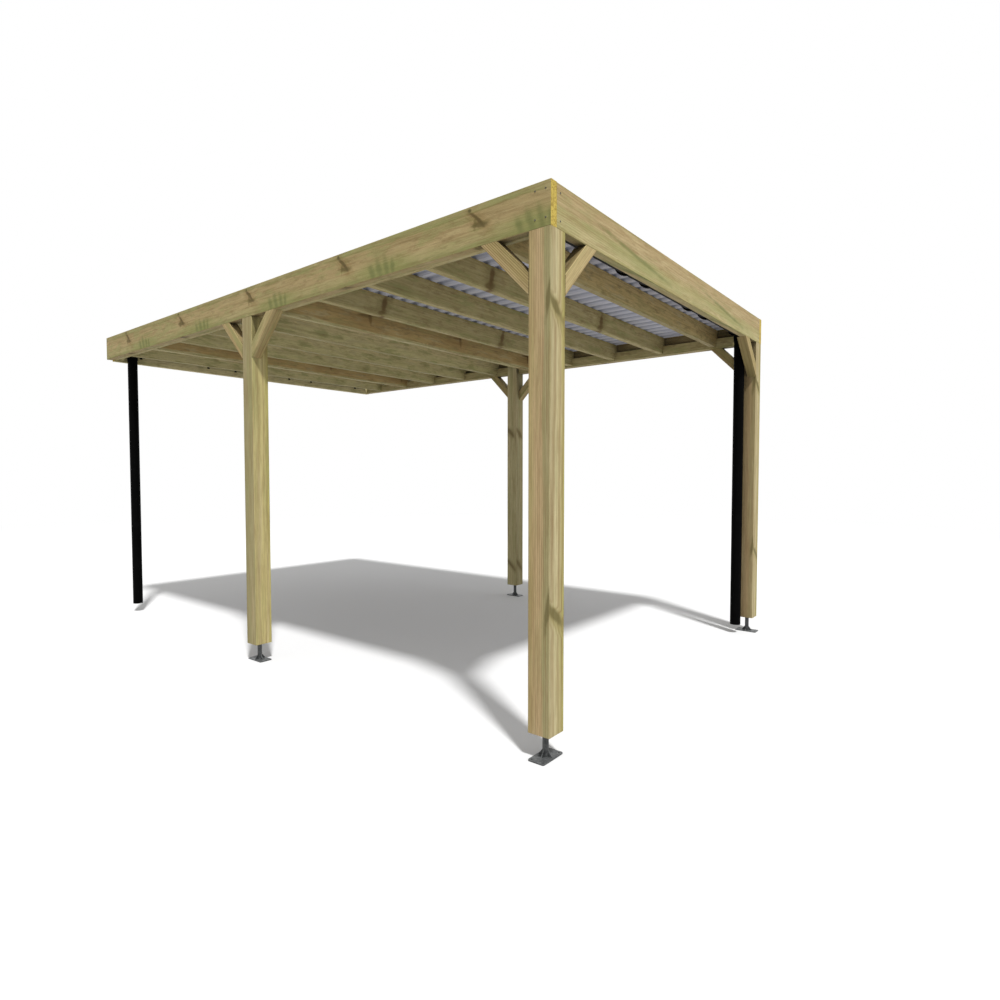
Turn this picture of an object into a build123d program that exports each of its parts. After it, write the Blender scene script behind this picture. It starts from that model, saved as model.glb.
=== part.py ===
from build123d import *
from math import cos, floor, hypot, radians, sin, sqrt, tan
import os

os.makedirs("parts", exist_ok=True)

# Timber carport that stands in front of a wall. Millimetres, Z up.
# The building's own coordinates run from the left outer face (x), the front outer face (y)
# and the ground (z). Each piece is moved by the same step when it is written, so that the
# origin lies on the ground at the centre of the footprint, foot plates included.

# Whole frame
width = 3120.0              # across the entry, over the side beams
length = 5000.0             # from the front beam's face to the wall
height = 2590.0             # top of the beams
fit = 0.3                   # gap between parts that slide into or over each other

# Posts and edge beams
post = 120.0                # square section
post_gap = 120.0            # open space under each post
post_arris = 5.0
side_post_shift = 10.0      # side posts stand this far behind the middle of the length
corner_tongue_drop = 10.0   # corner tongues end this far below the beams' top
beam_depth = 200.0
beam_thick = 47.0
board_arris = 2.0
ledger_drop = 12.0          # the ledger on the wall hangs this much lower

# Bearer strips and joists
strip_thick = 32.0
strip_depth = 80.0
joist_thick = 45.0
joist_depth = 145.0
joist_rise = 10.0           # joists' underside above the beams' underside
joist_count = 10
joist_first = 345.0         # front face of the first joist
joist_last = 335.0          # from the wall to the front face of the last joist

# Knee braces
brace = 70.0                # square section
brace_reach = 280.0         # along the beam and down the post
brace_arris = 4.0

# Post feet
plate_length = 165.0
plate_width = 90.0
plate_thick = 6.0
plate_corner = 11.0
bolt_spacing_length = 135.0
bolt_spacing_width = 60.0
bolt_hole_d = 11.0
stem_d = 30.0
gusset_thick = 5.0
gusset_height = 32.0
gusset_reach = 24.0         # beyond the stem

# Roof sheets
sheet_thick = 1.2
wave_count = 27
wave_height = 18.0
wave_crest = 42.0           # flat on top of each wave
wave_slope = 16.0           # width of each sloping side
lap_crest_count = 9         # the outer sheets end with this crest, under the middle sheet
lap_leg = 5.0               # a lapped edge stops this far above the valleys
sheet_side_gap = 1.0
sheet_end_gap = 5.0         # from the corner tongues to the sheets' ends
sheet_clear = 5.0           # from the side posts' tongues up to the sheets

# Gutters, brackets and outlets
gutter_r = 62.0
gutter_wall = 2.0
gutter_bead_r = 4.0
gutter_axis_drop = 88.0     # below the beams' top
gutter_beam_gap = 6.0
gutter_end_gap = 2.0
bracket_width = 22.0
bracket_thick = 11.0
bracket_rise = 26.0         # back plate above the gutter's axis
bracket_drop = 76.0         # back plate below the gutter's axis
bracket_hook = 7.0          # front hook above the gutter's axis
bracket_pitch = 955.0       # from one pair of brackets to the next
bracket_pair = 297.0        # between the two brackets of a pair
bracket_pair_x = 1085.0     # middle of one pair, from the left face
bracket_margin = 20.0       # brackets keep this far from the gutter's ends
front_outlet_inset = 69.0   # from the gutter's end to the downpipe's axis
rear_outlet_inset = 55.0
outlet_saddle_width = 106.0
outlet_saddle_thick = 4.0
outlet_hole_r = 33.0
socket_wall = 3.5
socket_below = 46.0         # socket's lower rim below the gutter

# Downpipes
pipe_d = 82.0
pipe_wall = 2.0
pipe_top_gap = 6.0          # from the gutter's underside down to the pipe
front_pipe_bottom = 70.0
rear_pipe_bottom = 76.0

# Fixing of the ledger to the wall
wall_hole_d = 12.0
wall_hole_outer = 2400.0    # between the two outer holes
wall_hole_inner = 800.0     # between the two inner holes

# Levels and planes that several pieces share
beam_bottom = height - beam_depth
joist_bottom = beam_bottom + joist_rise
roof_base = joist_bottom + joist_depth
strip_top = beam_bottom + strip_depth
inner_left = beam_thick
inner_right = width - beam_thick
ledger_face = length - beam_thick
side_post_y = (length - post) / 2 + side_post_shift
side_post_back = side_post_y + post
plate_overhang = max(0.0, (plate_length - post) / 2)
origin_x = (width - plate_overhang) / 2
origin_y = (length - plate_overhang) / 2
gutter_z = height - gutter_axis_drop
gutter_inset = beam_thick + gutter_beam_gap + gutter_r
gutter_length = width - 2 * (post + gutter_end_gap)
joist_pitch = (length - joist_last - joist_first) / (joist_count - 1)
joist_fronts = [joist_first + joist_pitch * number for number in range(joist_count)]


def save(name, shape):
    """Write one piece, moved from the building's coordinates to the origin."""
    export_step(Pos(-origin_x, -origin_y, 0) * shape, f"parts/{name}.step")


def block(x, y, z):
    """Box between the low and high value on each axis."""
    corner = (Align.MIN, Align.MIN, Align.MIN)
    return Pos(x[0], y[0], z[0]) * Box(x[1] - x[0], y[1] - y[0], z[1] - z[0], align=corner)


def board(x, y, z, along, arris):
    """Planed timber with its long edges eased."""
    timber = block(x, y, z)
    return chamfer(timber.edges().filter_by(along), arris)


def post_timber(corner, tongue_top):
    """Left post with its outer corner at the origin: the beams sit in the notch beside its tongue."""
    timber = block((0, post), (0, post), (post_gap, tongue_top))
    timber = fillet(timber.edges().filter_by(Axis.Z), post_arris)
    over = tongue_top + 1
    timber -= block((-1, beam_thick), (-1, post + 1), (beam_bottom, over))
    if corner:
        timber -= block((-1, post + 1), (-1, beam_thick), (beam_bottom, over))
    return timber


def posts():
    corner_post = post_timber(True, height - corner_tongue_drop)
    side_post = post_timber(False, roof_base - sheet_clear)
    for name, timber, y in (("front", corner_post, 0), ("side", side_post, side_post_y)):
        save(f"post_{name}_left", Pos(0, y, 0) * timber)
        save(f"post_{name}_right", Pos(width, y, 0) * mirror(timber, about=Plane.YZ))


def edge_beams():
    high = (beam_bottom, height)
    save("beam_left", board((0, beam_thick), (0, length), high, Axis.Y, board_arris))
    save("beam_right", board((inner_right, width), (0, length), high, Axis.Y, board_arris))
    save("beam_front", board((inner_left, inner_right), (0, beam_thick), high, Axis.X, board_arris))
    low = (beam_bottom - ledger_drop, height - ledger_drop)
    ledger = board((inner_left, inner_right), (ledger_face, length), low, Axis.X, board_arris)
    middle_z = (low[0] + low[1]) / 2
    for spacing in (wall_hole_outer, wall_hole_inner):
        for side in (-1, 1):
            place = Pos(width / 2 + side * spacing / 2, length - beam_thick / 2, middle_z)
            ledger -= place * Rot(90, 0, 0) * Cylinder(wall_hole_d / 2, 2 * beam_thick)
    save("wall_ledger", ledger)


def bearer_strips():
    """Strips on the side beams' inner faces, between the posts' tongues."""
    high = (beam_bottom, strip_top)
    bays = {"front": (post, side_post_y), "rear": (side_post_back, ledger_face)}
    for bay, y in bays.items():
        left = (inner_left, inner_left + strip_thick)
        right = (inner_right - strip_thick, inner_right)
        save(f"bearer_strip_{bay}_left", board(left, y, high, Axis.Y, board_arris))
        save(f"bearer_strip_{bay}_right", board(right, y, high, Axis.Y, board_arris))


def joists():
    """Joists notched at both ends over the bearer strips."""
    for number, front in enumerate(joist_fronts, start=1):
        deep = (front, front + joist_thick)
        joist = board((inner_left, inner_right), deep, (joist_bottom, roof_base), Axis.X, board_arris)
        notch_y = (deep[0] - 1, deep[1] + 1)
        notch_z = (joist_bottom - 1, strip_top)
        joist -= block((inner_left - 1, inner_left + strip_thick), notch_y, notch_z)
        joist -= block((inner_right - strip_thick, inner_right + 1), notch_y, notch_z)
        save(f"joist_{number:02d}", joist)


def brace_timber():
    """Knee brace that leaves a post at x = 0 and meets the beam's underside at z = 0."""
    inner = brace_reach - brace * sqrt(2)
    side = Polygon((0, -brace_reach), (brace_reach, 0), (inner, 0), (0, -inner), align=None)
    timber = extrude(Plane.XZ * side, amount=-brace)
    slant = Axis((0, 0, 0), (1, 0, 1))
    return fillet(timber.edges().filter_by(slant), brace_arris)


def knee_braces():
    """Braces flush with the frame's outer faces, named by their post and where they lean."""
    timber = brace_timber()
    right_inner = width - brace
    places = {
        "front_left_across": (post, 0, 0),
        "front_left_back": (brace, post, 90),
        "front_right_across": (width - post, brace, 180),
        "front_right_back": (width, post, 90),
        "side_left_front": (0, side_post_y, -90),
        "side_left_back": (brace, side_post_back, 90),
        "side_right_front": (right_inner, side_post_y, -90),
        "side_right_back": (width, side_post_back, 90),
    }
    for name, (x, y, turn) in places.items():
        save(f"brace_{name}", Pos(x, y, beam_bottom) * Rot(0, 0, turn) * timber)


def foot_steel():
    """Bolted plate, stem and four gussets, centred under a post, long side along x."""
    plate = extrude(RectangleRounded(plate_length, plate_width, plate_corner), plate_thick)
    for hole in GridLocations(bolt_spacing_length, bolt_spacing_width, 2, 2):
        plate -= hole * Cylinder(bolt_hole_d / 2, 4 * plate_thick)
    base = (Align.CENTER, Align.CENTER, Align.MIN)
    steel = plate + Pos(0, 0, plate_thick) * Cylinder(stem_d / 2, post_gap - plate_thick, align=base)
    outer = stem_d / 2 + gusset_reach
    top = plate_thick + gusset_height
    rib = Polygon((0, plate_thick), (outer, plate_thick), (stem_d / 2, top), (0, top), align=None)
    for turn in (0, 90, 180, 270):
        steel += Rot(0, 0, turn) * extrude(Plane.XZ * rib, amount=gusset_thick / 2, both=True)
    return steel


def feet():
    steel = foot_steel()
    half = post / 2
    places = {
        "front_left": (half, half, 0),
        "front_right": (width - half, half, 90),
        "side_left": (half, side_post_y + half, 90),
        "side_right": (width - half, side_post_y + half, 90),
    }
    for name, (x, y, turn) in places.items():
        save(f"foot_{name}", Pos(x, y, 0) * Rot(0, 0, turn) * steel)


def thickened(line, thick):
    """Closed outline between a line and its parallel, thick above it, with mitred corners."""
    angles = []
    for start, end in zip(line, line[1:]):
        run = hypot(end[0] - start[0], end[1] - start[1])
        angles.append(((end[0] - start[0]) / run, (end[1] - start[1]) / run))
    upper = []
    for point, before, after in zip(line, angles[:1] + angles, angles + angles[-1:]):
        share = thick / (1 + before[0] * after[0] + before[1] * after[1])
        upper.append((point[0] - share * (before[1] + after[1]), point[1] + share * (before[0] + after[0])))
    return line + upper[::-1]


def sheet_line(first, last, over_first, over_last):
    """Underside of a sheet from one crest to another, counted across the whole roof.

    A crest that laps over its neighbour's stands clear of it; a crest that is lapped ends in a leg.
    """
    start_x = inner_left + sheet_side_gap
    pitch = (width - 2 * beam_thick - 2 * sheet_side_gap) / wave_count
    slope = wave_height / wave_slope
    lap = sheet_thick + fit
    lean = hypot(wave_height, wave_slope)
    top_step = lap * (lean - wave_slope) / wave_height
    side_step = lap * lean / wave_height
    points = []
    for crest in range(first, last + 1):
        middle = start_x + (crest + 0.5) * pitch
        lapped_over = (crest == first and over_first) or (crest == last and over_last)
        rise = lap if lapped_over else 0.0
        top_half = wave_crest / 2 + (top_step if lapped_over else 0.0)
        base_half = wave_crest / 2 + wave_slope + (side_step if lapped_over else 0.0)
        leg_half = base_half - lap_leg / slope
        left_edge = crest == first and first > 0
        right_edge = crest == last and last < wave_count - 1
        left = (middle - leg_half, lap_leg) if left_edge else (middle - base_half, 0.0)
        right = (middle + leg_half, lap_leg) if right_edge else (middle + base_half, 0.0)
        top = wave_height + rise
        points += [left, (middle - top_half, top), (middle + top_half, top), right]
    if first == 0:
        points.insert(0, (start_x, 0.0))
    if last == wave_count - 1:
        points.append((start_x + wave_count * pitch, 0.0))
    return points


def roof_sheets():
    """Three corrugated sheets on the joists; the middle one laps over its neighbours."""
    front = post + sheet_end_gap
    run = length - 2 * front
    far_lap = wave_count - 1 - lap_crest_count
    spans = {
        "left": (0, lap_crest_count, False, False),
        "middle": (lap_crest_count, far_lap, True, True),
        "right": (far_lap, wave_count - 1, False, False),
    }
    for name, span in spans.items():
        outline = Polygon(*thickened(sheet_line(*span), sheet_thick), align=None)
        sheet = extrude(Plane.XZ * outline, amount=-run)
        save(f"roof_sheet_{name}", Pos(0, front, roof_base) * sheet)


def below_axis(shape, reach):
    """The part of a section that lies below the gutter's axis."""
    return shape & Rectangle(2 * reach, reach, align=(Align.CENTER, Align.MAX))


def gutter_trough(outlet_inset):
    """Half-round gutter with beaded lips, from x = 0; its outlet is near the far end."""
    inner_r = gutter_r - gutter_wall
    section = below_axis(Circle(gutter_r) - Circle(inner_r), gutter_r)
    for side in (-1, 1):
        section += Pos(side * (gutter_r - gutter_bead_r), 0) * Circle(gutter_bead_r)
    trough = extrude(Plane.YZ * section, gutter_length)
    cap = extrude(Plane.YZ * below_axis(Circle(gutter_r), gutter_r), gutter_wall)
    trough += cap
    trough += Pos(gutter_length - gutter_wall, 0, 0) * cap
    drain = Pos(gutter_length - outlet_inset, 0, -gutter_r) * Cylinder(outlet_hole_r, gutter_r)
    return trough - drain


def bracket_saddle():
    """Bracket under the gutter, hung on the beam behind it, centred on x = 0."""
    outer = gutter_r + bracket_thick
    beam_y = -(gutter_r + gutter_beam_gap)
    section = below_axis(Circle(outer), outer)
    hook_y = gutter_r + fit
    hook = Pos(hook_y, 0) * Rectangle(bracket_thick - fit, bracket_hook, align=(Align.MIN, Align.MIN))
    back_thick = gutter_beam_gap - fit
    back = Rectangle(back_thick, bracket_drop + bracket_rise, align=(Align.MIN, Align.MIN))
    back = Pos(beam_y, -bracket_drop) * back
    section = section + hook + back - Circle(gutter_r + fit)
    room = Pos(beam_y, 0) * Rectangle(4 * outer, 4 * outer, align=(Align.MIN, Align.CENTER))
    return extrude(Plane.YZ * (section & room), bracket_width / 2, both=True)


def outlet_socket():
    """Saddle under the gutter's outlet with a socket for the downpipe, centred on x = 0."""
    outer = gutter_r + outlet_saddle_thick
    saddle = extrude(Plane.YZ * below_axis(Circle(outer), outer), outlet_saddle_width / 2, both=True)
    socket_r = pipe_d / 2 + fit + socket_wall
    base = (Align.CENTER, Align.CENTER, Align.MIN)
    bottom = -gutter_r - socket_below
    shell = saddle + Pos(0, 0, bottom) * Cylinder(socket_r, socket_below + gutter_r / 2, align=base)
    shell -= Rot(0, 90, 0) * Cylinder(gutter_r + fit, 2 * outlet_saddle_width)
    shell -= Pos(0, 0, bottom) * Cylinder(outlet_hole_r, 2 * gutter_r, align=base)
    depth = socket_below - pipe_top_gap + fit
    return shell - Pos(0, 0, bottom) * Cylinder(pipe_d / 2 + fit, depth, align=base)


def downpipe(bottom):
    """Round pipe up into the outlet's socket, centred on x = 0."""
    top = gutter_z - gutter_r - pipe_top_gap
    wall = Circle(pipe_d / 2) - Circle(pipe_d / 2 - pipe_wall)
    return Pos(0, 0, bottom) * extrude(wall, top - bottom)


def bracket_places():
    """Distances of the brackets from the left face, in pairs along the gutter."""
    low = post + gutter_end_gap + bracket_margin + bracket_width / 2
    high = width - low
    reach = floor(width / bracket_pitch)
    places = []
    for pair in range(-reach, reach + 1):
        for side in (-1, 1):
            x = bracket_pair_x + pair * bracket_pitch + side * bracket_pair / 2
            if low <= x <= high:
                places.append(x)
    return places


def rainwater_side(name, turned, outlet_inset, pipe_bottom):
    """Gutter, brackets, outlet and downpipe of one end; the rear ones are turned half round."""
    start_x = post + gutter_end_gap
    outlet_x = start_x + gutter_length - outlet_inset
    half_turn = Pos(width, length, 0) * Rot(0, 0, 180) if turned else Pos(0, 0, 0)
    axis = half_turn * Pos(0, gutter_inset, gutter_z)
    save(f"gutter_{name}", axis * Pos(start_x, 0, 0) * gutter_trough(outlet_inset))
    save(f"gutter_outlet_{name}", axis * Pos(outlet_x, 0, 0) * outlet_socket())
    save(f"downpipe_{name}", half_turn * Pos(outlet_x, gutter_inset, 0) * downpipe(pipe_bottom))
    saddle = bracket_saddle()
    places = [width - x if turned else x for x in bracket_places()]
    clear = (outlet_saddle_width + bracket_width) / 2
    saddles = [axis * Pos(x, 0, 0) * saddle for x in places if abs(x - outlet_x) > clear]
    save(f"gutter_brackets_{name}", Compound(saddles))


posts()
edge_beams()
bearer_strips()
joists()
knee_braces()
feet()
roof_sheets()
rainwater_side("front", False, front_outlet_inset, front_pipe_bottom)
rainwater_side("rear", True, rear_outlet_inset, rear_pipe_bottom)
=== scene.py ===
from math import cos, pi, radians, sin
from typing import NamedTuple

import bmesh
import bpy
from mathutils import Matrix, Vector


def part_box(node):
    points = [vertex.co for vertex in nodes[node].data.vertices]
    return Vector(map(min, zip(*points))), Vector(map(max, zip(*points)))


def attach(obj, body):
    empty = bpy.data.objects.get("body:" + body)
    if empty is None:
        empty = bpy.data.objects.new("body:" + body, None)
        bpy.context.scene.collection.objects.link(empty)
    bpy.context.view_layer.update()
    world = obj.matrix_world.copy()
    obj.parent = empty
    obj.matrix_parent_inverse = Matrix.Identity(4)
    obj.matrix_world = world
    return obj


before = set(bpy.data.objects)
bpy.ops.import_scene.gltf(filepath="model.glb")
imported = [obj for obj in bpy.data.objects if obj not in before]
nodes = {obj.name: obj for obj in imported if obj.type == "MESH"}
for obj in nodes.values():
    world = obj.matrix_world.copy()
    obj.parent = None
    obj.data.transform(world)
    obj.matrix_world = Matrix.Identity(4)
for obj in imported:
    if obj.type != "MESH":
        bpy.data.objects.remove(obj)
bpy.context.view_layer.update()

# The camera of the photograph: place and reach in metres, angles in degrees, lens and sensor in millimetres
CAMERA_AT = (-3.81395, -4.01165, 1.3011)
CAMERA_YAW = -51.456
CAMERA_PITCH = 87.746
CAMERA_LENS = 22.194
CAMERA_SENSOR = 36.0
CAMERA_REACH = 200.0

# Light: the way of the sun's rays, how bright they make a white face that looks straight at them,
# the sun's width in degrees, and how bright the sky is as a light
SUN_WAY = (0.30, 0.515, -1.0)
SUN_LEVEL = 1.0
SUN_SPREAD = 5.0
SKY_LEVEL = 0.57

# Floor: brightness for the camera and for the light that it sends back up, its number of sides, and in metres
# its radius, how far it lies below the feet and where it fades to white
FLOOR_PALE = 0.80
FLOOR_BOUNCE = 0.46
FLOOR_SIDES = 96
FLOOR_RADIUS = 60.0
FLOOR_DROP = 0.0005
FADE_START, FADE_END = 7.0, 15.0

# Screws, in metres: places from the beams' ends and below their top, and turned heads as (radius, height)
END_SCREW, POST_SCREW, FRONT_SCREW = 0.027, 0.084, 0.076
SIDE_SCREW_DROPS, FRONT_SCREW_DROPS = (0.035, 0.160), (0.039, 0.162)
HEAD_SIDES = 20
BEAM_HEAD = [(0.0045, -0.001), (0.0045, 0.0006), (0.0040, 0.0012), (0.0021, 0.0014), (0.0019, -0.0006)]
ROOF_CAP = [(0.0030, -0.024), (0.0030, -0.0014), (0.0095, -0.0004), (0.0110, 0.0004), (0.0095, 0.0016),
            (0.0062, 0.0024), (0.0046, 0.0028), (0.0046, 0.0066), (0.0038, 0.0076)]

# The roof's waves over its whole width, and the crests, counted from the left, that lap and that are screwed
WAVE_COUNT = 27
LAP_CRESTS = (9, 17)
SCREWED_CRESTS = range(1, WAVE_COUNT, 4)

# Timber
SEED_STEP = 0.61                        # from one board's pattern to the next one's
PATTERN_SHIFT = (3.17, 1.73, 2.41)      # metres along, across and deep into a board for a seed of 1
TIMBER_EDGE = 0.0025                    # how round the edges are, in metres
CORNER_SHADE_REACH = 0.25                       # metres from where faces meet, over which the corners get painted shade
BAND_WAVER = 0.025                      # metres that the bands of colour waver
RIM_WAVER = 0.8                         # how far a mark's rim wavers, as a share of its size
NARROW_FACING = 0.7                     # a narrow face looks along the board's width by more than this

X, Y, Z = (1, 0, 0), (0, 1, 0), (0, 0, 1)


def colour(red, green, blue):
    """Linear colour from the 0 to 255 values that a screen shows."""
    def linear(value):
        value /= 255.0
        return value / 12.92 if value <= 0.04045 else ((value + 0.055) / 1.055) ** 2.4
    return (linear(red), linear(green), linear(blue), 1.0)


def even(level):
    """Grey whose linear values are all level."""
    return (level, level, level, 1.0)


GREEN = colour(146, 148, 92)
BROWN = colour(112, 96, 58)
RUST = colour(128, 98, 54)
FLAME = colour(104, 108, 62)
END_STRAW = colour(204, 180, 88)
END_RING = colour(146, 120, 52)
END_GREY = colour(138, 130, 104)


class Tree:
    """Short calls that build the nodes of a material or a world."""

    def __init__(self, owner):
        owner.use_nodes = True
        self.tree = owner.node_tree
        self.tree.nodes.clear()

    def node(self, kind, values=None, **settings):
        """A node with its settings, and values or links for its inputs by name or number."""
        made = self.tree.nodes.new(kind)
        for key, value in settings.items():
            setattr(made, key, value)
        for key, value in (values or {}).items():
            self.feed(made.inputs[key], value)
        return made

    def feed(self, socket, value):
        """Sets a socket to a value, or links it to another socket."""
        if isinstance(value, bpy.types.NodeSocket):
            self.tree.links.new(value, socket)
        else:
            socket.default_value = value

    def math(self, operation, first, second=0.0, third=0.0):
        made = self.node("ShaderNodeMath", {0: first, 1: second, 2: third}, operation=operation)
        return made.outputs[0]

    def vector(self, operation, first, second):
        made = self.node("ShaderNodeVectorMath", {0: first, 1: second}, operation=operation)
        return made.outputs["Value" if operation == "DOT_PRODUCT" else "Vector"]

    def length(self, first, second):
        """Length of a way that goes first and second at right angles to each other."""
        square = self.math("MULTIPLY_ADD", first, first, self.math("MULTIPLY", second, second))
        return self.math("SQRT", square)

    def noise(self, vector, scale, detail, roughness):
        """Noise with scale waves per metre, one number or one for each direction."""
        scales = scale if isinstance(scale, tuple) else (scale, scale, scale)
        values = {"Vector": self.vector("MULTIPLY", vector, scales), "Scale": 1.0,
                  "Detail": detail, "Roughness": roughness}
        return self.node("ShaderNodeTexNoise", values).outputs["Fac"]

    def ramp(self, value, low, high, start=0.0, end=1.0):
        """value from low to high becomes start to end, smoothly and clamped."""
        values = {"Value": value, "From Min": low, "From Max": high, "To Min": start, "To Max": end}
        made = self.node("ShaderNodeMapRange", values, interpolation_type="SMOOTHSTEP")
        return made.outputs["Result"]

    def mix(self, factor, first, second, blend="MIX"):
        """first at factor 0 and second at factor 1, as colours."""
        made = self.node("ShaderNodeMix", data_type="RGBA", blend_type=blend, clamp_factor=True)
        for place, value in ((0, factor), (6, first), (7, second)):
            self.feed(made.inputs[place], value)
        return made.outputs[2]

    def shade(self, surface, level):
        """A colour times level."""
        grey = self.node("ShaderNodeCombineColor", {0: level, 1: level, 2: level}).outputs[0]
        return self.mix(1.0, surface, grey, "MULTIPLY")

    def banded(self, place, bands):
        """Colours that follow each other with place: the first, then (from where, colour, softness)."""
        surface = bands[0]
        for start, tint, soft in bands[1:]:
            surface = self.mix(self.ramp(place, start - soft, start + soft), surface, tint)
        return surface

    def position(self):
        return self.node("ShaderNodeTexCoord").outputs["Object"]

    def facing(self, way):
        """1 where the surface looks along way, 0 beside it and -1 against it."""
        normal = self.node("ShaderNodeNewGeometry").outputs["Normal"]
        return self.vector("DOT_PRODUCT", normal, way)

    def bump(self, height, strength, distance, normal=None):
        """The normal over a relief, which may start from a rounded normal."""
        values = {"Height": height, "Strength": strength, "Distance": distance}
        if normal is not None:
            values["Normal"] = normal
        return self.node("ShaderNodeBump", values).outputs["Normal"]

    def edge(self, radius):
        """(1 on edges and 0 elsewhere, the normal rounded over the edges)."""
        rounded = self.node("ShaderNodeBevel", {"Radius": radius}, samples=4).outputs["Normal"]
        return self.ramp(self.facing(rounded), 0.999, 0.8), rounded


class Finish(Tree):
    """The nodes of a new material, with its shader and its output."""

    def __init__(self, name):
        self.material = bpy.data.materials.new(name)
        super().__init__(self.material)
        self.shader = self.node("ShaderNodeBsdfPrincipled")
        self.output = self.node("ShaderNodeOutputMaterial", {"Surface": self.shader.outputs["BSDF"]})

    def dress(self, surface, roughness, normal):
        """The material, once its shader has a colour, a roughness and a normal."""
        self.feed(self.shader.inputs["Base Color"], surface)
        self.feed(self.shader.inputs["Roughness"], roughness)
        self.feed(self.shader.inputs["Normal"], normal)
        return self.material


class Mark(NamedTuple):
    """A knot or stain: a slanted oval on a board's face."""
    at: tuple               # along the board and over its face, from the middle, in metres
    turn: float             # degrees from the grain
    size: tuple             # half its length and half its width, in metres
    tint: tuple
    strength: float
    soft: float = 0.5       # half the width of its rim, as a share of its size
    bend: float = 0.0       # how far its ends curve to one side
    flow: float = 0.0       # metres that it pushes the growth rings aside
    faces: str = "both"     # front, side or both


class Look(NamedTuple):
    """How a kind of board looks. Bands are a first colour, then (from where, colour, softness) in metres."""
    front: list             # bands over the wide faces, or a post's front and back
    light: tuple            # what pale clouds turn towards
    dark: tuple             # what blotches, streaks and growth rings turn towards
    patch: float            # clouds in a metre of length
    green: float            # strength of the green clouds
    blotches: float         # strength of the dark blotches
    streaks: float          # strength of the dark streaks
    contrast: float         # strength of the growth rings
    faint: float            # share of it that the rings keep where they are weakest
    sharp: float            # higher for narrower dark lines
    ring: float             # width of a growth ring, in metres
    wander: float           # metres that the rings waver
    lean: float             # how far the rings lean from the grain, for each metre of length
    pith: tuple             # the rings' middle, across and deep from the board's middle, in metres
    corner_shade: float             # brightness that the painted shade leaves where three or more faces meet
    side: list = None       # bands over the narrow faces, or a post's sides, where they differ
    marks: tuple = ()
    period: float = 1.0     # metres along the board after which its marks come back


SIDE_BEAM = Look(
    front=[colour(144, 140, 89), (-0.078, colour(168, 156, 107), 0.01),
           (-0.035, colour(175, 154, 109), 0.02), (0.03, colour(168, 148, 103), 0.02),
           (0.068, colour(138, 131, 81), 0.006), (0.076, colour(158, 148, 99), 0.006)],
    light=colour(180, 164, 118), dark=colour(127, 107, 69),
    patch=4.5, green=0.55, blotches=0.4, streaks=0.35, contrast=0.16,
    faint=0.1, sharp=2.0, ring=0.013, wander=0.05, lean=0.01, pith=(0.01, 0.12), corner_shade=0.25,
    period=1.02, marks=(
        Mark((-0.045, 0.02), 40, (0.09, 0.034), RUST, 0.4, soft=0.8, flow=0.03),
        Mark((-0.035, 0.038), 42, (0.058, 0.010), colour(88, 74, 40), 0.85, bend=0.5),
        Mark((-0.052, 0.002), 6, (0.050, 0.013), colour(92, 80, 44), 0.75),
        Mark((-0.025, 0.012), 95, (0.036, 0.010), colour(104, 92, 50), 0.6),
        Mark((0.008, 0.082), 20, (0.011, 0.008), colour(84, 78, 42), 0.85),
        Mark((-0.37, -0.062), 0, (0.17, 0.05), colour(136, 138, 80), 0.75, soft=0.9),
        Mark((-0.29, -0.064), 66, (0.046, 0.017), FLAME, 0.6, soft=0.8),
        Mark((-0.35, -0.056), 70, (0.056, 0.018), FLAME, 0.6, soft=0.8),
        Mark((-0.41, -0.06), 76, (0.05, 0.016), FLAME, 0.6, soft=0.8),
        Mark((-0.46, -0.068), 84, (0.036, 0.013), FLAME, 0.6, soft=0.8),
    ))

FRONT_BEAM = Look(
    front=[colour(171, 163, 108), (-0.088, colour(189, 177, 129), 0.008),
           (-0.04, colour(173, 163, 112), 0.02), (0.0, colour(183, 163, 120), 0.02),
           (0.05, colour(179, 157, 114), 0.02), (0.09, colour(163, 149, 100), 0.006)],
    light=colour(195, 179, 133), dark=colour(145, 121, 81),
    patch=3.5, green=0.35, blotches=0.4, streaks=0.35, contrast=0.32,
    faint=0.2, sharp=2.5, ring=0.0105, wander=0.05, lean=0.02, pith=(0.12, -0.06), corner_shade=0.25,
    period=1.407, marks=(
        Mark((-0.60, -0.045), -2.5, (0.52, 0.030), GREEN, 0.55, soft=0.8),
        Mark((-0.72, -0.012), -6, (0.34, 0.011), colour(120, 122, 72), 0.75, soft=0.7, flow=0.02),
    ))

POST = Look(
    front=[colour(182, 171, 131), (-0.045, colour(198, 186, 143), 0.01), (0.0, colour(190, 176, 129), 0.02),
           (0.032, colour(180, 171, 106), 0.012), (0.052, colour(152, 143, 84), 0.005)],
    side=[colour(183, 163, 115), (-0.03, colour(192, 167, 125), 0.02), (0.022, colour(163, 154, 111), 0.008)],
    light=colour(196, 180, 139), dark=colour(137, 112, 74),
    patch=1.2, green=0.25, blotches=0.25, streaks=0.35, contrast=0.6,
    faint=0.5, sharp=3.0, ring=0.0115, wander=0.012, lean=0.001, pith=(-0.06, 0.13), corner_shade=0.25,
    period=1.375, marks=(
        Mark((0.67, 0.0), 134, (0.11, 0.034), colour(150, 138, 84), 0.6,
             soft=0.7, flow=0.012, faces="front"),
        Mark((0.70, -0.02), 132, (0.085, 0.02), colour(104, 94, 54), 0.8, faces="front"),
        Mark((0.735, 0.05), 8, (0.085, 0.012), colour(104, 94, 56), 0.75, faces="side"),
    ))
POST_RIGHT = POST._replace(
    side=[colour(172, 152, 110), (-0.02, colour(176, 152, 112), 0.02), (0.022, colour(164, 150, 108), 0.008)])
POST_GREEN = POST._replace(
    front=[colour(189, 177, 123), (-0.02, colour(198, 185, 127), 0.02), (0.04, colour(189, 179, 110), 0.01)],
    side=[colour(160, 150, 110), (-0.02, colour(168, 158, 114), 0.02)],
    green=0.4, contrast=0.35, marks=())
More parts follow.
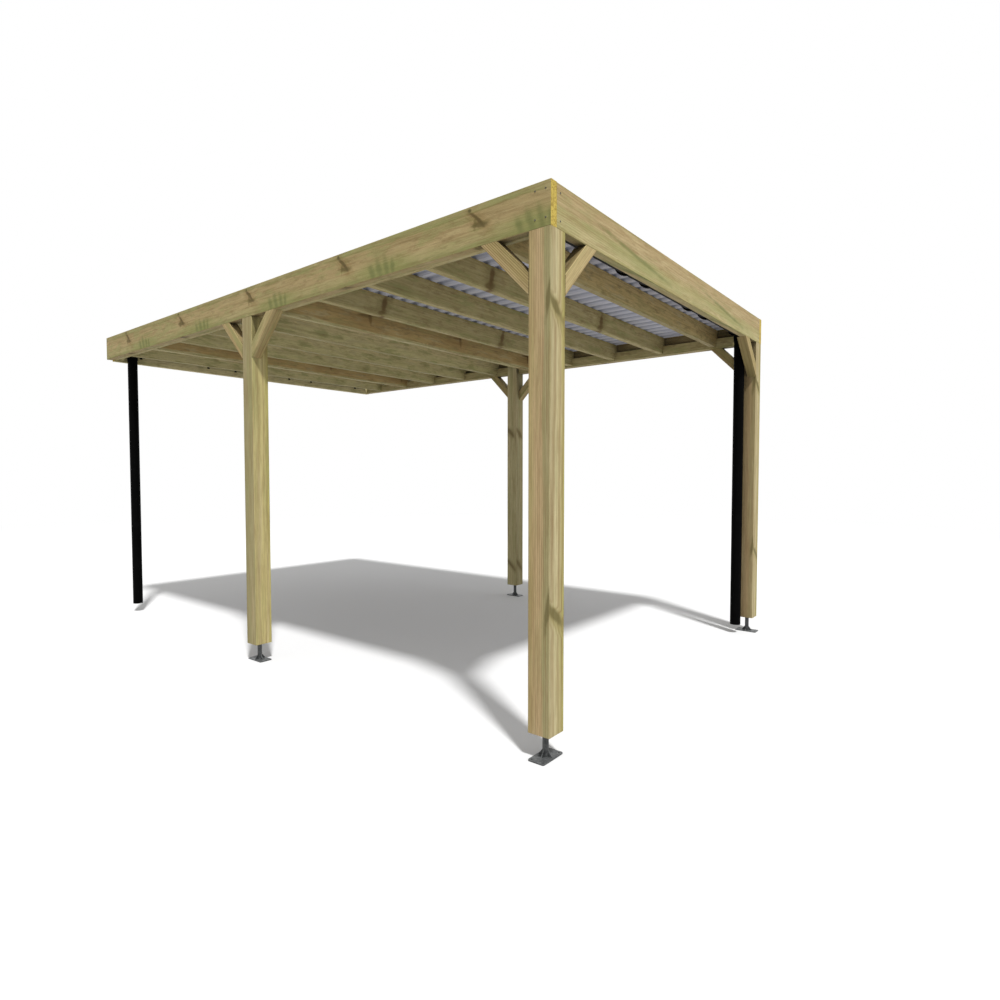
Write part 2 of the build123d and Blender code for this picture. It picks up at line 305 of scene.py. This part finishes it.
# Its sides are lighter than its front and back: painted light on the sides, which evens them with the front.
POST_FAR = POST_GREEN._replace(
    front=[colour(176, 167, 127), (0.0, colour(182, 172, 129), 0.02)],
    side=[colour(204, 193, 146), (0.0, colour(195, 184, 138), 0.02)],
    period=1.42, marks=(
        Mark((0.42, 0.0), 134, (0.09, 0.034), colour(126, 112, 72), 0.45, soft=0.8),
        Mark((0.43, -0.01), 136, (0.07, 0.018), colour(108, 92, 54), 0.6, soft=0.6),
    ))

JOIST = Look(
    front=[colour(199, 187, 135), (-0.062, colour(175, 163, 114), 0.004),
           (-0.02, colour(186, 172, 122), 0.02), (0.03, colour(180, 164, 114), 0.02)],
    light=colour(193, 181, 137), dark=colour(130, 110, 71),
    patch=4.5, green=0.6, blotches=0.5, streaks=0.35, contrast=0.2,
    faint=0.1, sharp=2.0, ring=0.012, wander=0.04, lean=0.01, pith=(-0.02, 0.08), corner_shade=0.85)
JOIST_KNOTTY = JOIST._replace(
    period=1.315, marks=(
        Mark((0.355, 0.0), 72, (0.09, 0.06), colour(128, 116, 72), 0.5, soft=0.8, flow=0.02),
        Mark((0.36, 0.012), 74, (0.06, 0.02), colour(104, 80, 46), 0.85),
        Mark((0.34, -0.05), 20, (0.045, 0.018), colour(110, 90, 52), 0.75),
    ))
JOIST_BROWN = JOIST._replace(
    front=[colour(204, 192, 140), (-0.056, colour(192, 164, 108), 0.006),
           (0.02, colour(182, 154, 100), 0.02)],
    side=[colour(200, 190, 140)], green=0.35,
    period=1.035, marks=(
        Mark((0.355, 0.04), 96, (0.05, 0.014), colour(96, 76, 42), 0.8),
        Mark((0.31, 0.058), 4, (0.06, 0.01), colour(96, 76, 42), 0.7),
        Mark((0.31, 0.01), 0, (0.16, 0.04), colour(150, 118, 70), 0.45, soft=0.8, flow=0.02),
    ))
# Its top and bottom faces are darker than its front and back: painted shade on its underside.
JOIST_WARM = JOIST._replace(
    front=[colour(212, 191, 132), (-0.04, colour(214, 188, 128), 0.02), (0.03, colour(210, 184, 126), 0.02)],
    side=[colour(166, 152, 108)], green=0.3)
# Front and back are lighter and top and bottom darker: painted light on the front and back, painted shade on
# the top and bottom.
JOIST_FAR = JOIST._replace(
    front=[colour(206, 195, 142), (-0.058, colour(206, 196, 140), 0.008), (0.0, colour(218, 202, 148), 0.03)],
    side=[colour(176, 166, 118)], streaks=0.22, blotches=0.3)
LEDGER = JOIST._replace(
    front=[colour(234, 222, 168), (-0.085, colour(228, 214, 162), 0.01), (0.02, colour(232, 212, 158), 0.03)],
    green=0.45, streaks=0.25, blotches=0.3)
JOIST_LOOKS = {"joist_01": JOIST_WARM, "joist_02": JOIST_KNOTTY, "joist_04": JOIST_KNOTTY,
               "joist_05": JOIST_BROWN, "joist_06": JOIST_FAR, "joist_07": JOIST_FAR, "joist_08": JOIST_FAR,
               "joist_09": JOIST_BROWN, "joist_10": JOIST_FAR}

BRACE_FACE = [colour(191, 172, 123), (-0.01, colour(181, 158, 111), 0.01),
              (0.02, colour(174, 156, 105), 0.01)]
# The upper and lower faces of BRACE and BRACE_PLAIN are darker than their outer faces: painted shade.
BRACE = Look(
    front=[colour(160, 140, 96), (0.0, colour(150, 133, 88), 0.02)], side=BRACE_FACE,
    light=colour(195, 176, 131), dark=colour(106, 80, 48),
    patch=2.0, green=0.25, blotches=0.2, streaks=0.3, contrast=0.85,
    faint=0.7, sharp=3.5, ring=0.0095, wander=0.01, lean=0.004, pith=(-0.035, 0.09), corner_shade=0.3)
BRACE_PLAIN = BRACE._replace(contrast=0.25, streaks=0.2)
BRACE_GREEN = BRACE._replace(front=BRACE_FACE, green=0.6, contrast=0.3)


class Pine(Finish):
    """Treated pine for one node, cut along grain; its narrow faces, or a post's sides, look along across.

    look says how it looks, and seed moves its pattern.
    """

    def __init__(self, node, grain, across, look, seed):
        super().__init__(f"pine_{node}")
        self.look = look
        self.grain = Vector(grain).normalized()
        across = Vector(across).normalized()
        axes = (self.grain, across, self.grain.cross(across))
        low, high = (Vector(corner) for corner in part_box(node))
        local = self.vector("SUBTRACT", self.position(), (low + high) / 2)
        self.run, self.wide, self.deep = (self.vector("DOT_PRODUCT", local, axis) for axis in axes)
        # 1 on the narrow faces, then the place over a face: wide on the wide ones, minus deep on the narrow
        self.side = self.math("GREATER_THAN", self.math("ABSOLUTE", self.facing(across)), NARROW_FACING)
        swap = self.math("MULTIPLY", self.math("ADD", self.deep, self.wide), -1.0)
        self.face = self.math("MULTIPLY_ADD", self.side, swap, self.wide)
        place = self.node("ShaderNodeCombineXYZ", {0: self.run, 1: self.wide, 2: self.deep}).outputs[0]
        self.field = self.vector("ADD", place, Vector([seed * shift for shift in PATTERN_SHIFT]))

    def figure(self, along, beside, detail, roughness):
        """Noise of this board, with so many waves per metre along the grain and beside it."""
        return self.noise(self.field, (along, beside, beside), detail, roughness)

    def mark_shape(self, mark, warp):
        """1 inside a mark's ovals, one in each period, and 0 outside, with a rim that wavers with warp."""
        start, level = mark.at
        period = self.look.period
        along = self.math("SUBTRACT", self.run, start - period / 2)
        along = self.math("SUBTRACT", self.math("FLOORED_MODULO", along, period), period / 2)
        over = self.math("SUBTRACT", self.face, level)
        turn = radians(mark.turn)
        half_long, half_wide = mark.size
        long = self.math("MULTIPLY", along, cos(turn) / half_long)
        long = self.math("MULTIPLY_ADD", over, sin(turn) / half_long, long)
        wide = self.math("MULTIPLY", along, -sin(turn) / half_wide)
        wide = self.math("MULTIPLY_ADD", over, cos(turn) / half_wide, wide)
        if mark.bend:
            wide = self.math("MULTIPLY_ADD", self.math("MULTIPLY", long, long), mark.bend, wide)
        waver = self.math("MULTIPLY_ADD", warp, 2 * RIM_WAVER, -RIM_WAVER)
        distance = self.math("ADD", self.length(long, wide), waver)
        shape = self.ramp(distance, 1.0 + mark.soft, 1.0 - mark.soft)
        if mark.faces == "side":
            shape = self.math("MULTIPLY", shape, self.side)
        if mark.faces == "front":
            shape = self.math("MULTIPLY", shape, self.math("SUBTRACT", 1.0, self.side))
        return shape

    def growth_rings(self, marked):
        """1 in the dark lines of rings round a pith beside the board, which the marks push aside."""
        flow = 0.0
        for mark, shape in marked:
            if mark.flow:
                flow = self.math("MULTIPLY_ADD", shape, mark.flow, flow)
        wander = self.math("MULTIPLY_ADD", self.figure(0.9, 6.0, 2.0, 0.5), self.look.wander, flow)
        pith_wide, pith_deep = self.look.pith
        lean = self.math("MULTIPLY", self.run, self.look.lean)
        wide = self.math("ADD", self.math("SUBTRACT", self.wide, pith_wide), lean)
        deep = self.math("SUBTRACT", self.deep, pith_deep)
        radius = self.math("ADD", self.length(wide, deep), wander)
        wave = self.math("SINE", self.math("MULTIPLY", radius, 2 * pi / self.look.ring))
        late = self.math("POWER", self.math("MULTIPLY_ADD", wave, 0.5, 0.5), self.look.sharp)
        strength = self.figure(0.8, 10.0, 2.0, 0.6)
        return self.math("MULTIPLY", late, self.ramp(strength, 0.35, 0.62, self.look.faint, 1.0))

    def clouded_bands(self):
        """Long bands of colour on each face, with green and pale clouds and dark blotches."""
        look = self.look
        swell = self.math("MULTIPLY_ADD", self.figure(2.4, 10.0, 4.0, 0.6), 2 * BAND_WAVER, -BAND_WAVER)
        place = self.math("ADD", self.face, swell)
        surface = self.banded(place, look.front)
        if look.side:
            surface = self.mix(self.side, surface, self.banded(place, look.side))
        cloud = self.figure(look.patch, 19.0, 5.0, 0.65)
        surface = self.mix(self.ramp(cloud, 0.49, 0.64, 0.0, look.green), surface, GREEN)
        surface = self.mix(self.ramp(cloud, 0.47, 0.34, 0.0, 0.55), surface, look.light)
        blotch = self.figure(2.5 * look.patch, 34.0, 4.0, 0.65)
        return self.mix(self.ramp(blotch, 0.5, 0.68, 0.0, look.blotches), surface, look.dark)

    def end_grain(self, late):
        """Straw colour with rings and specks, greyer where it looks up."""
        speck = self.figure(75.0, 75.0, 4.0, 0.7)
        cut = self.mix(self.ramp(late, 0.1, 0.9, 0.0, 0.4), END_STRAW, END_RING)
        cut = self.mix(self.ramp(speck, 0.46, 0.62, 0.0, 0.75), cut, END_RING)
        return self.mix(self.ramp(self.facing(Z), 0.5, 0.9, 0.0, 0.8), cut, END_GREY)

    def build(self):
        """The material, with its marks, rings, streaks, fibres, end grain, painted shade in corners and worn
        edges.
        """
        look = self.look
        warp = self.figure(9.0, 22.0, 3.0, 0.55)
        marked = [(mark, self.mark_shape(mark, warp)) for mark in look.marks]
        late = self.growth_rings(marked)
        surface = self.clouded_bands()
        streak = self.figure(4.0, 95.0, 3.0, 0.6)
        surface = self.mix(self.ramp(streak, 0.45, 0.64, 0.0, look.streaks), surface, look.dark)
        surface = self.mix(self.math("MULTIPLY", late, look.contrast), surface, look.dark)
        fibre = self.figure(22.0, 520.0, 3.0, 0.6)
        surface = self.shade(surface, self.ramp(fibre, 0.3, 0.7, 0.90, 1.07))
        for mark, shape in marked:
            surface = self.mix(self.math("MULTIPLY", shape, mark.strength), surface, mark.tint)
        end = self.ramp(self.math("ABSOLUTE", self.facing(self.grain)), 0.8, 0.92)
        surface = self.mix(end, surface, self.end_grain(late))
        # Painted shade: the colour darkens where faces meet and close in on each other.
        open_air = self.node("ShaderNodeAmbientOcclusion", {"Distance": CORNER_SHADE_REACH}, samples=4).outputs["AO"]
        surface = self.shade(surface, self.ramp(open_air, 0.2, 0.66, look.corner_shade, 1.0))
        worn, rounded = self.edge(TIMBER_EDGE)
        surface = self.mix(self.math("MULTIPLY", worn, 0.22), surface, BROWN)
        self.shader.inputs["Specular IOR Level"].default_value = 0.2
        normal = self.bump(self.math("MULTIPLY_ADD", late, 0.6, fibre), 0.4, 0.0016, rounded)
        return self.dress(surface, self.ramp(streak, 0.3, 0.7, 0.62, 0.82), normal)


def black_plastic():
    """Moulded rainwater goods with faint drawing lines, dust and scuffs."""
    tree = Finish("black_plastic")
    place = tree.position()
    dust = tree.noise(place, 9.0, 4.0, 0.6)
    drawn = tree.noise(place, (160.0, 160.0, 3.0), 2.0, 0.5)
    worn, rounded = tree.edge(0.002)
    surface = tree.mix(tree.ramp(dust, 0.5, 0.75, 0.0, 0.5), colour(4, 4, 4), colour(12, 12, 12))
    surface = tree.mix(tree.math("MULTIPLY", worn, 0.5), surface, colour(30, 30, 31))
    tree.shader.inputs["Specular IOR Level"].default_value = 0.025
    normal = tree.bump(drawn, 0.08, 0.0006, rounded)
    return tree.dress(surface, tree.ramp(dust, 0.35, 0.7, 0.5, 0.66), normal)


def coated_steel(name, dull, bright, upright=1.0):
    """Steel between two colours: flakes, dull stains and brighter edges; faces that look sideways are
    darkened by a given factor, as painted shade.
    """
    tree = Finish(name)
    place = tree.position()
    flakes = tree.node("ShaderNodeTexVoronoi", {"Vector": place, "Scale": 110.0}).outputs["Color"]
    flake = tree.node("ShaderNodeSeparateColor", {0: flakes}).outputs[0]
    stain = tree.noise(place, 26.0, 4.0, 0.6)
    worn, rounded = tree.edge(0.0015)
    surface = tree.mix(tree.ramp(flake, 0.0, 1.0), dull, bright)
    surface = tree.mix(tree.ramp(stain, 0.5, 0.72, 0.0, 0.6), surface, colour(66, 67, 68))
    surface = tree.mix(tree.math("MULTIPLY", worn, 0.6), surface, colour(160, 164, 162))
    # Painted shade: faces that look sideways are darkened by the given factor.
    level = tree.math("ABSOLUTE", tree.facing(Z))
    surface = tree.shade(surface, tree.ramp(level, 0.2, 0.8, upright, 1.0))
    tree.shader.inputs["Metallic"].default_value = 0.5
    normal = tree.bump(flake, 0.06, 0.0004, rounded)
    return tree.dress(surface, tree.ramp(stain, 0.3, 0.7, 0.42, 0.62), normal)


def roof_plastic():
    """Grey corrugated sheet: pale and clean below with painted shade in its hollows, and weathered and dusty
    on top.
    """
    tree = Finish("roof_plastic")
    place = tree.position()
    mottle = tree.noise(place, (30.0, 3.0, 30.0), 3.0, 0.6)
    dust = tree.noise(place, (5.0, 2.0, 5.0), 5.0, 0.65)
    spots = tree.noise(place, 60.0, 4.0, 0.7)
    low, high = (corner[2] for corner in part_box("roof_sheet_left"))
    hollow = tree.ramp(tree.vector("DOT_PRODUCT", place, Z), low, high)
    below = tree.mix(tree.ramp(mottle, 0.35, 0.65), colour(194, 195, 208), colour(208, 209, 221))
    # Painted shade: the underside darkens up into the hollows of its waves.
    below = tree.mix(tree.ramp(hollow, 0.2, 0.8, 0.0, 0.7), below, colour(160, 164, 180))
    top = tree.mix(tree.ramp(mottle, 0.35, 0.65), colour(160, 161, 168), colour(172, 173, 180))
    top = tree.mix(tree.ramp(dust, 0.46, 0.66, 0.0, 0.7), top, colour(140, 138, 132))
    top = tree.mix(tree.ramp(spots, 0.60, 0.74, 0.0, 0.5), top, colour(118, 116, 106))
    surface = tree.mix(tree.ramp(tree.facing(Z), -0.2, 0.2), below, top)
    normal = tree.bump(tree.noise(place, 220.0, 2.0, 0.5), 0.05, 0.0005)
    return tree.dress(surface, tree.ramp(dust, 0.3, 0.7, 0.38, 0.65), normal)


def timber_boards():
    """Grain, direction across the wide faces, and look of every timber node."""
    boards = {
        "beam_left": (Y, Z, SIDE_BEAM), "beam_right": (Y, Z, SIDE_BEAM),
        "beam_front": (X, Z, FRONT_BEAM), "wall_ledger": (X, Z, LEDGER),
        "post_front_left": (Z, X, POST), "post_front_right": (Z, X, POST_RIGHT),
        "post_side_left": (Z, X, POST_GREEN), "post_side_right": (Z, X, POST_FAR),
    }
    for place in ("front_left", "front_right", "rear_left", "rear_right"):
        boards[f"bearer_strip_{place}"] = (Y, Z, JOIST)
    for node in sorted(nodes):
        if node.startswith("joist"):
            boards[node] = (X, Z, JOIST_LOOKS.get(node, JOIST))
    slants = {
        "front_left_across": ((1, 0, 1), Y, BRACE_PLAIN), "front_right_across": ((-1, 0, 1), Y, BRACE_PLAIN),
        "front_left_back": ((0, 1, 1), X, BRACE), "front_right_back": ((0, 1, 1), X, BRACE_GREEN),
        "side_left_front": ((0, -1, 1), X, BRACE_GREEN), "side_right_front": ((0, -1, 1), X, BRACE_GREEN),
        "side_left_back": ((0, 1, 1), X, BRACE_GREEN), "side_right_back": ((0, 1, 1), X, BRACE_GREEN),
    }
    for place, board in slants.items():
        boards[f"brace_{place}"] = board
    return boards


def paint(node, material):
    """Gives a CAD node its material."""
    mesh = nodes[node].data
    mesh.materials.clear()
    mesh.materials.append(material)


def dress_frame():
    """Gives every CAD node its material."""
    for number, (node, (grain, across, look)) in enumerate(timber_boards().items()):
        paint(node, Pine(node, grain, across, look, number * SEED_STEP).build())
    plastic, sheet = black_plastic(), roof_plastic()
    # The feet's sideways faces get painted shade.
    steel = coated_steel("foot_steel", colour(92, 94, 95), colour(114, 116, 116), upright=0.55)
    for node in nodes:
        if node.startswith(("gutter", "downpipe")):
            paint(node, plastic)
        elif node.startswith("foot"):
            paint(node, steel)
        elif node.startswith("roof_sheet"):
            paint(node, sheet)


def add_object(name, work, material):
    """A new object with the mesh of work and one material."""
    mesh = bpy.data.meshes.new(name)
    work.to_mesh(mesh)
    work.free()
    mesh.materials.append(material)
    made = bpy.data.objects.new(name, mesh)
    bpy.context.collection.objects.link(made)
    return made


def turn_heads(name, places, profile, material):
    """One piece with the same turned head at every (point, axis); profile is (radius, height) pairs."""
    work = bmesh.new()
    for point, axis in places:
        turn = Vector(axis).to_track_quat("Z", "Y")
        rings = []
        for radius, height in profile:
            angles = (2 * pi * side / HEAD_SIDES for side in range(HEAD_SIDES))
            spots = [Vector((radius * cos(angle), radius * sin(angle), height)) for angle in angles]
            rings.append([work.verts.new(turn @ spot + Vector(point)) for spot in spots])
        for lower, upper in zip(rings, rings[1:]):
            for side in range(HEAD_SIDES):
                following = (side + 1) % HEAD_SIDES
                work.faces.new((lower[side], lower[following], upper[following], upper[side]))
        work.faces.new(rings[0][::-1])
        work.faces.new(rings[-1])
    piece = add_object(name, work, material)
    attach(piece, "root")


def drive_beam_screws():
    """Heads of the screws on the outer faces of the left and the front beam."""
    (left, front, _), (_, back, top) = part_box("beam_left")
    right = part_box("beam_right")[1][0]
    heads = []
    for along in (front + END_SCREW, front + POST_SCREW, back - END_SCREW):
        heads += [((left, along, top - drop), (-1, 0, 0)) for drop in SIDE_SCREW_DROPS]
    for across in (left + FRONT_SCREW, right - FRONT_SCREW):
        heads += [((across, front, top - drop), (0, -1, 0)) for drop in FRONT_SCREW_DROPS]
    brown = coated_steel("brown_steel", colour(76, 70, 54), colour(92, 84, 64))
    turn_heads("beam_screws", heads, BEAM_HEAD, brown)


def drive_roof_screws():
    """Capped screws through the roof's crests over the middle of every joist."""
    (start, _, _), (_, _, crest_top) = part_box("roof_sheet_left")
    lap_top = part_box("roof_sheet_middle")[1][2]
    pitch = (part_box("roof_sheet_right")[1][0] - start) / WAVE_COUNT
    caps = []
    for node in sorted(nodes):
        if node.startswith("joist"):
            (_, face, _), (_, behind, _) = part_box(node)
            for crest in SCREWED_CRESTS:
                level = lap_top if crest in LAP_CRESTS else crest_top
                caps.append(((start + (crest + 0.5) * pitch, (face + behind) / 2, level), Z))
    grey = coated_steel("cap_steel", colour(120, 122, 126), colour(150, 152, 156))
    turn_heads("roof_screws", caps, ROOF_CAP, grey)


def aim_camera():
    """The photograph's viewpoint."""
    data = bpy.data.cameras.new("camera")
    data.lens = CAMERA_LENS
    data.sensor_width = CAMERA_SENSOR
    data.clip_end = CAMERA_REACH
    camera = bpy.data.objects.new("camera", data)
    camera.location = CAMERA_AT
    camera.rotation_euler = (radians(CAMERA_PITCH), 0.0, radians(CAMERA_YAW))
    bpy.context.collection.objects.link(camera)
    bpy.context.scene.camera = camera


def lay_floor():
    """Round pale floor that fades into the white background and sends less light back up."""
    tree = Finish("floor")
    away = tree.node("ShaderNodeVectorMath", {0: tree.position()}, operation="LENGTH").outputs["Value"]
    rays = tree.node("ShaderNodeLightPath").outputs
    seen = tree.math("MAXIMUM", rays["Is Camera Ray"], rays["Is Glossy Ray"])
    tree.shader.inputs["Base Color"].default_value = even(FLOOR_PALE)
    tree.shader.inputs["Roughness"].default_value = 0.9
    tree.shader.inputs["Specular IOR Level"].default_value = 0.0
    dark = tree.node("ShaderNodeBsdfDiffuse", {"Color": even(FLOOR_BOUNCE)}).outputs[0]
    ground = tree.node("ShaderNodeMixShader", {0: seen, 1: dark, 2: tree.shader.outputs[0]}).outputs[0]
    glow = tree.node("ShaderNodeEmission", {"Color": even(1.0), "Strength": 1.0}).outputs[0]
    fade = tree.math("MULTIPLY", tree.ramp(away, FADE_START, FADE_END), seen)
    blend = tree.node("ShaderNodeMixShader", {0: fade, 1: ground, 2: glow}).outputs[0]
    tree.feed(tree.output.inputs["Surface"], blend)
    work = bmesh.new()
    bmesh.ops.create_circle(work, cap_ends=True, segments=FLOOR_SIDES, radius=FLOOR_RADIUS)
    floor = add_object("floor", work, tree.material)
    floor.location = (0.0, 0.0, -FLOOR_DROP)


def light_studio():
    """A sky that is white to the camera and dimmer as a light, and one broad sun from the front left."""
    world = bpy.data.worlds.new("studio")
    tree = Tree(world)
    rays = tree.node("ShaderNodeLightPath").outputs
    seen = tree.math("MAXIMUM", rays["Is Camera Ray"], rays["Is Glossy Ray"])
    seen = tree.math("MAXIMUM", seen, rays["Is Transmission Ray"])
    level = tree.math("MULTIPLY_ADD", seen, 1.0 - SKY_LEVEL, SKY_LEVEL)
    background = tree.node("ShaderNodeBackground", {"Color": even(1.0), "Strength": level}).outputs[0]
    tree.node("ShaderNodeOutputWorld", {"Surface": background})
    bpy.context.scene.world = world
    data = bpy.data.lights.new("key", "SUN")
    data.energy = SUN_LEVEL * pi
    data.angle = radians(SUN_SPREAD)
    key = bpy.data.objects.new("key", data)
    key.rotation_euler = Vector(SUN_WAY).to_track_quat("-Z", "Y").to_euler()
    bpy.context.collection.objects.link(key)


aim_camera()
light_studio()
lay_floor()
dress_frame()
drive_beam_screws()
drive_roof_screws()
bpy.context.scene.view_settings.view_transform = "Standard"
